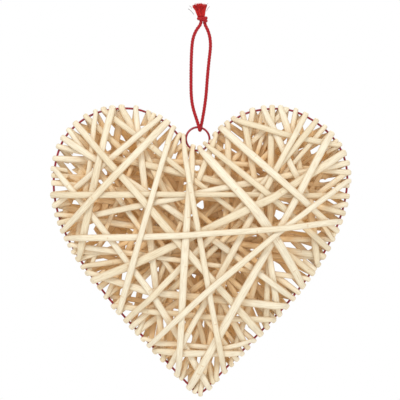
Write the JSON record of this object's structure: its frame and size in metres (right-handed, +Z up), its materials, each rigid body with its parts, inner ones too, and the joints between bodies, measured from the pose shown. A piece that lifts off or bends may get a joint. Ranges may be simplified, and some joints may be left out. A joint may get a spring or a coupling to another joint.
{
  "type": "hanging woven heart",
  "caption": "Puffed heart of peeled willow strips wound in every direction round a heart-shaped wire, with a wire eye at its notch and a red cord loop to hang it by.",
  "frame": {"origin": "the top of the cord loop, in the fork just under its knot, where a nail or hook bears", "axes": "+X to the viewer's right, +Z up, and the heart's front looks along -Y"},
  "size_m": [0.196, 0.0596, 0.256],
  "materials": {
    "willow": "dry peeled willow, satin",
    "wire": "crimson plastic-coated wire, gloss",
    "cord": "twisted red cotton"
  },
  "bodies": {
    "root": {"willow_strand_01": "willow", "willow_strand_02": "willow", "willow_strand_03": "willow", "willow_strand_04": "willow", "willow_strand_05": "willow", "willow_strand_06": "willow", "willow_strand_07": "willow", "willow_strand_08": "willow", "willow_strand_09": "willow", "willow_strand_10": "willow", "willow_strand_11": "willow", "willow_strand_12": "willow", "wire_frame": "wire", "hanging_cord": "cord", "cord_knot": "cord"}
  },
  "joints": []
}
